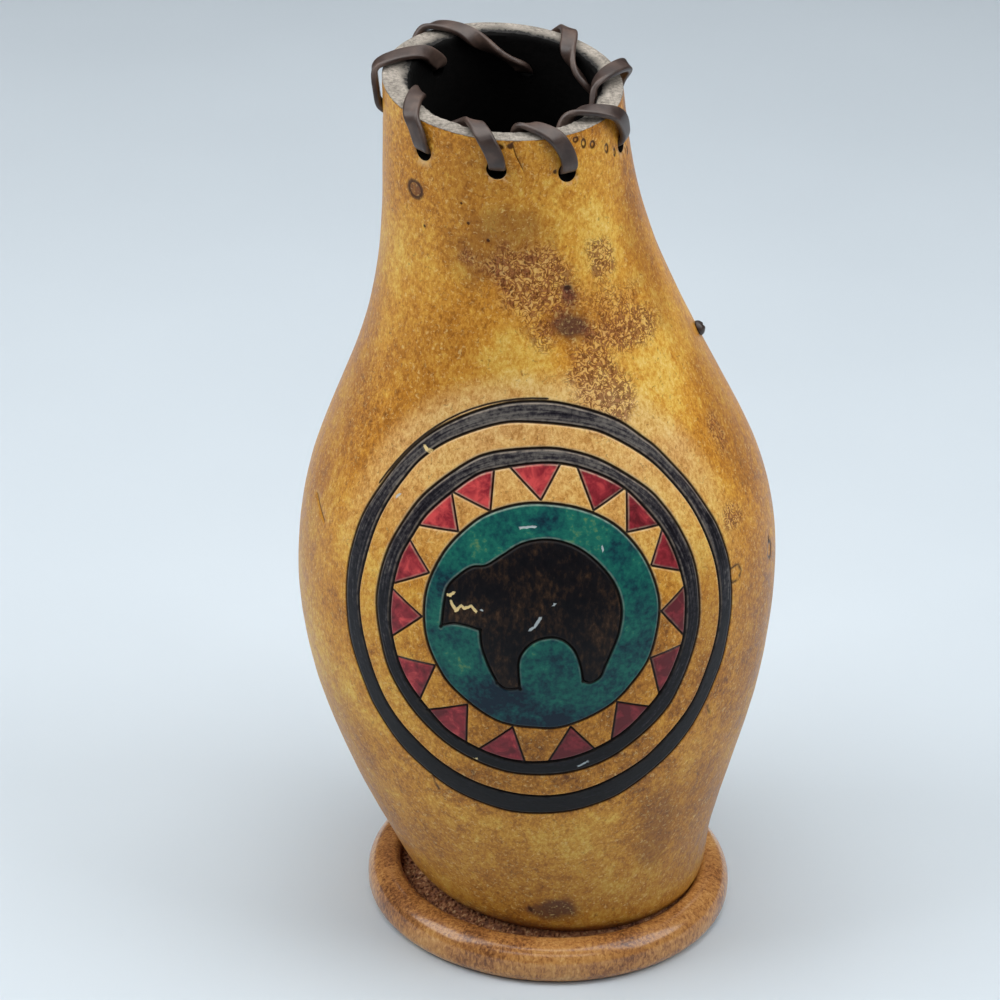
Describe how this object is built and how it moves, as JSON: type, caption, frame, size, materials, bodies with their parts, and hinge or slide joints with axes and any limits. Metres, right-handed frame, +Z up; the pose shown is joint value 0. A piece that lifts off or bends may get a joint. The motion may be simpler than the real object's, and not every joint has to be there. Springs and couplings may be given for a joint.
{
  "type": "carved gourd vase",
  "caption": "Hollow dried-gourd vase with a carved and painted round medallion, a mouth edged with whipped leather lace, and a turned wooden dish as its foot.",
  "frame": {"origin": "middle of the dish's flat underside, on the surface that the vase stands on", "axes": "+Z up through the mouth, +X to the right and -Y out through the middle of the medallion"},
  "size_m": [0.0859, 0.0858, 0.1685],
  "materials": {
    "gourd": "dyed and waxed gourd skin, satin, with a carved and painted medallion",
    "lace": "dark brown flat leather lace, satin",
    "dish": "turned hardwood, stained and lacquered",
    "bedding": "rough brown sawdust set in glue"
  },
  "bodies": {
    "root": {"gourd_shell": "gourd", "rim_lace": "lace", "side_knot": "lace", "base_dish": "dish", "foot_bedding": "bedding"}
  },
  "joints": []
}
